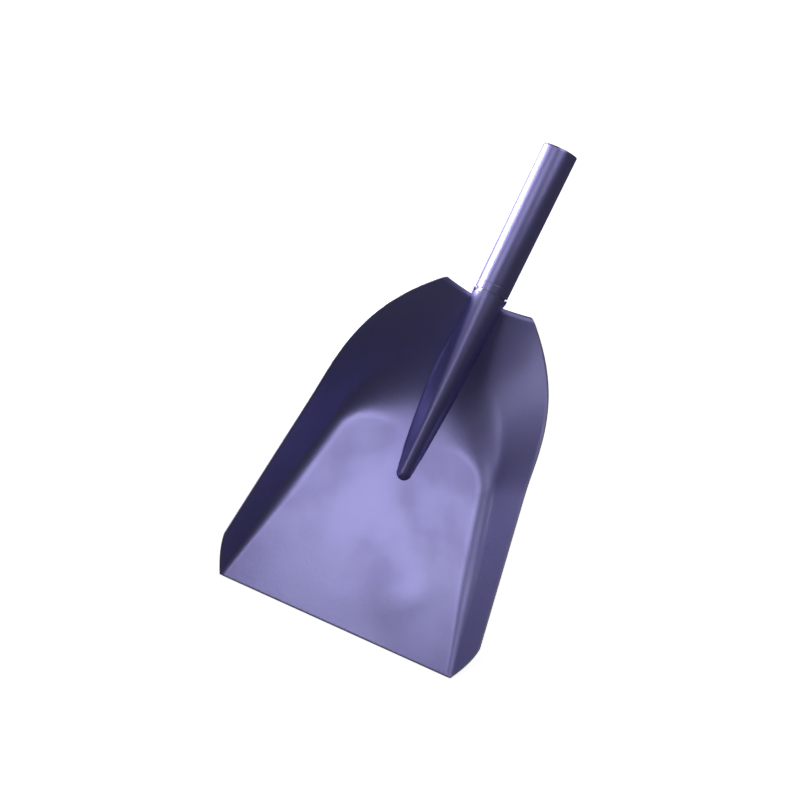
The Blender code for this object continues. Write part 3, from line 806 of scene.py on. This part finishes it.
def enamel_material(name, groups, rough, pooling, peel, rub_width, dust):
    """Violet-blue enamel over steel, built from the shared groups with this piece's own values."""
    material = bpy.data.materials.new(name)
    material.use_nodes = True
    sheet = Sheet(material.node_tree)
    shader = material.node_tree.nodes["Principled BSDF"]
    position = sheet.add("ShaderNodeTexCoord").outputs["Object"]
    up = sheet.add("ShaderNodeSeparateXYZ")
    sheet.join(sheet.add("ShaderNodeNewGeometry").outputs["Normal"], up.inputs[0])

    def use(key, **values):
        node = sheet.add("ShaderNodeGroup", node_tree=groups[key])
        sheet.join(position, node.inputs["Position"])
        for label, value in values.items():
            sheet.feed(node.inputs[label.replace("_", " ")], value)
        return node.outputs

    tone = use("tone", Enamel=ENAMEL, Deep_Enamel=DEEP_ENAMEL, Pooling=pooling, Speckle=SPECKLE)
    film = use("dust", Up=up.outputs["Z"], Amount=dust)["Mask"]
    colour = sheet.mix(film, tone["Color"], DUST)
    gloss = sheet.ramp(tone["Cloud"], 0.0, 1.0, rough, rough + CLOUD_GLOSS)
    gloss = sheet.maths("ADD", gloss, sheet.maths("MULTIPLY", film, DUST_GLOSS))
    metal = METALLIC
    if rub_width > 0.0:
        edge = sheet.add("ShaderNodeAttribute", attribute_name="edge_mm").outputs["Fac"]
        rub = use("rub", Edge=edge, Width=rub_width, Ragged=RAGGED)["Mask"]
        colour = sheet.mix(rub, colour, BARE_STEEL)
        gloss = sheet.maths("ADD", gloss, sheet.maths("MULTIPLY", rub, RUB_GLOSS))
        metal = sheet.ramp(rub, 0.0, 1.0, METALLIC, RUBBED_METALLIC)
    sheet.feed(shader.inputs["Metallic"], metal)
    height = use("peel", Dimple_Scale=DIMPLE_SCALE, Wave=DIMPLE_WAVE)["Height"]
    bump = sheet.add("ShaderNodeBump")
    bump.inputs["Strength"].default_value = peel
    bump.inputs["Distance"].default_value = PEEL_HEIGHT
    sheet.join(height, bump.inputs["Height"])
    sheet.join(colour, shader.inputs["Base Color"])
    sheet.join(gloss, shader.inputs["Roughness"])
    sheet.join(bump.outputs["Normal"], shader.inputs["Normal"])
    shader.inputs["Specular IOR Level"].default_value = 0.5
    shader.inputs["Coat Weight"].default_value = COAT
    shader.inputs["Coat Roughness"].default_value = COAT_ROUGHNESS
    return material


# ---------------------------------------------------------------- studio

# Camera: direction from the target, distance and target in millimetres, roll about its own line
CAMERA_AZIMUTH = np.radians(-12.4)
CAMERA_ELEVATION = np.radians(69.5)
CAMERA_ROLL = np.radians(37.03)
CAMERA_DISTANCE = 1100.0
CAMERA_TARGET = np.array([0.0, 260.0, 40.0])
CAMERA_SCALE = 0.865
TARGET_RIGHT = 33.0
TARGET_DOWN = 14.0
FRAME_SIDE = 800.0
SENSOR = 36.0
NEAR_CLIP = 0.01

# Name, elevation and azimuth in degrees (0 behind the socket, 90 on the right), size in metres, watts
DOME_RADIUS = 1.5
DOME_CENTRE = np.array([0.0, 0.0, 0.06])
DOME_BOXES = (
    ("overhead_box", 80.0, 25.0, 0.85, 0.75, 4.9),
    ("upper_left_box", 50.0, 255.0, 0.8, 0.6, 2.1),
    ("left_front_box", 22.0, 230.0, 0.6, 0.3, 1.1),
    ("left_box", 12.0, 278.0, 0.5, 0.3, 1.3),
    ("rear_box", 22.0, 0.0, 0.5, 0.3, 2.3),
)
CARD_PLACE = (-0.42, 0.27, 0.03)
CARD_AIM = (0.0, 0.20, 0.14)
CARD_LENGTH = 0.44
CARD_HEIGHT = 0.06
CARD_WATTS = 5.0

# Floor and air, in metres
FLOOR_SIDE = 8.0
FLOOR_DROP = 0.0004
FLOOR_COLOUR = (0.86, 0.86, 0.87, 1.0)
FLOOR_ROUGHNESS = 0.9
FLOOR_SPECULAR = 0.1
FLOOR_GLOW_COLOUR = (1.0, 1.0, 1.0, 1.0)
FLOOR_GLOW = 0.80
AIR_COLOUR = (0.80, 0.83, 1.0, 1.0)
AIR_STRENGTH = 0.03


def aim(towards, roll):
    """Rotation whose -Z looks along towards, turned about that line by roll."""
    back = -np.asarray(towards) / np.linalg.norm(towards)
    flat = np.array([-back[1], back[0], 0.0])
    right = flat / np.linalg.norm(flat)
    top = np.cross(back, right)
    turned = right * np.cos(roll) + top * np.sin(roll)
    risen = top * np.cos(roll) - right * np.sin(roll)
    return Matrix(np.stack([turned, risen, back], 1).tolist()).to_4x4()


def make_camera():
    """Camera above and in front of the head, turned about its own line so the socket leans right."""
    away = np.array([
        np.sin(CAMERA_AZIMUTH) * np.cos(CAMERA_ELEVATION),
        -np.cos(CAMERA_AZIMUTH) * np.cos(CAMERA_ELEVATION),
        np.sin(CAMERA_ELEVATION),
    ])
    target = CAMERA_TARGET - np.array([0.0, HALF_OVERALL, 0.0])
    data = bpy.data.cameras.new("studio_camera")
    data.sensor_width = SENSOR
    data.lens = CAMERA_SCALE * CAMERA_DISTANCE / FRAME_SIDE * SENSOR
    data.shift_x = -TARGET_RIGHT / FRAME_SIDE
    data.shift_y = TARGET_DOWN / FRAME_SIDE
    data.clip_start = NEAR_CLIP
    camera = bpy.data.objects.new("studio_camera", data)
    bpy.context.scene.collection.objects.link(camera)
    standing = Matrix.Translation((target + CAMERA_DISTANCE * away) * MM)
    camera.matrix_world = standing @ aim(-away, CAMERA_ROLL)
    bpy.context.scene.camera = camera


def soft_light(name, position, towards, size_x, size_y, watts):
    """Rectangular soft box at this place, facing a point of the head."""
    data = bpy.data.lights.new(name, "AREA")
    data.shape = "RECTANGLE"
    data.size = size_x
    data.size_y = size_y
    data.energy = watts
    lamp = bpy.data.objects.new(name, data)
    bpy.context.scene.collection.objects.link(lamp)
    facing = aim(np.array(towards) - np.array(position), 0.0)
    lamp.matrix_world = Matrix.Translation(position) @ facing


def make_lights():
    """Soft boxes on a dome around the head, and one low card close to the socket's left side."""
    for name, elevation, azimuth, size_x, size_y, watts in DOME_BOXES:
        rise = np.radians(elevation)
        turn = np.radians(azimuth)
        away = np.array([np.sin(turn) * np.cos(rise), np.cos(turn) * np.cos(rise), np.sin(rise)])
        soft_light(name, DOME_CENTRE + DOME_RADIUS * away, DOME_CENTRE, size_x, size_y, watts)
    soft_light("socket_card", CARD_PLACE, CARD_AIM, CARD_LENGTH, CARD_HEIGHT, CARD_WATTS)


def make_floor():
    """Pale studio floor, a plain square sheet under the head."""
    side = FLOOR_SIDE
    mesh = bpy.data.meshes.new("studio_floor")
    corners = [(-side, -side, 0.0), (side, -side, 0.0), (side, side, 0.0), (-side, side, 0.0)]
    mesh.from_pydata(corners, [], [(0, 1, 2, 3)])
    material = bpy.data.materials.new("pale_floor")
    material.use_nodes = True
    shader = material.node_tree.nodes["Principled BSDF"]
    shader.inputs["Base Color"].default_value = FLOOR_COLOUR
    shader.inputs["Roughness"].default_value = FLOOR_ROUGHNESS
    shader.inputs["Specular IOR Level"].default_value = FLOOR_SPECULAR
    shader.inputs["Emission Color"].default_value = FLOOR_GLOW_COLOUR
    shader.inputs["Emission Strength"].default_value = FLOOR_GLOW
    mesh.materials.append(material)
    floor = bpy.data.objects.new("studio_floor", mesh)
    bpy.context.scene.collection.objects.link(floor)
    floor.location.z = -FLOOR_DROP
    floor.visible_glossy = False


def make_world():
    """Faint bluish air light, so that no side of the head is black."""
    world = bpy.data.worlds.new("studio_air")
    world.use_nodes = True
    background = world.node_tree.nodes["Background"]
    background.inputs["Color"].default_value = AIR_COLOUR
    background.inputs["Strength"].default_value = AIR_STRENGTH
    bpy.context.scene.world = world


def main():
    groups = {
        "tone": enamel_tone_group(),
        "peel": orange_peel_group(),
        "rub": edge_rub_group(),
        "dust": dust_group(),
    }
    finishes = [enamel_material(name, groups, *values) for name, *values in FINISHES]
    pan_enamel, socket_enamel, weld_enamel = finishes
    make_pan(pan_enamel)
    make_socket(socket_enamel)
    make_edge_weld(weld_enamel)
    for label, hand in (("left", -1.0), ("right", 1.0)):
        make_tongue_weld(label, hand, weld_enamel)
        make_flank_weld(label, hand, weld_enamel)
    make_seam_weld(weld_enamel)
    make_floor()
    make_world()
    make_lights()
    bpy.context.scene.view_settings.view_transform = "Standard"
    make_camera()


main()
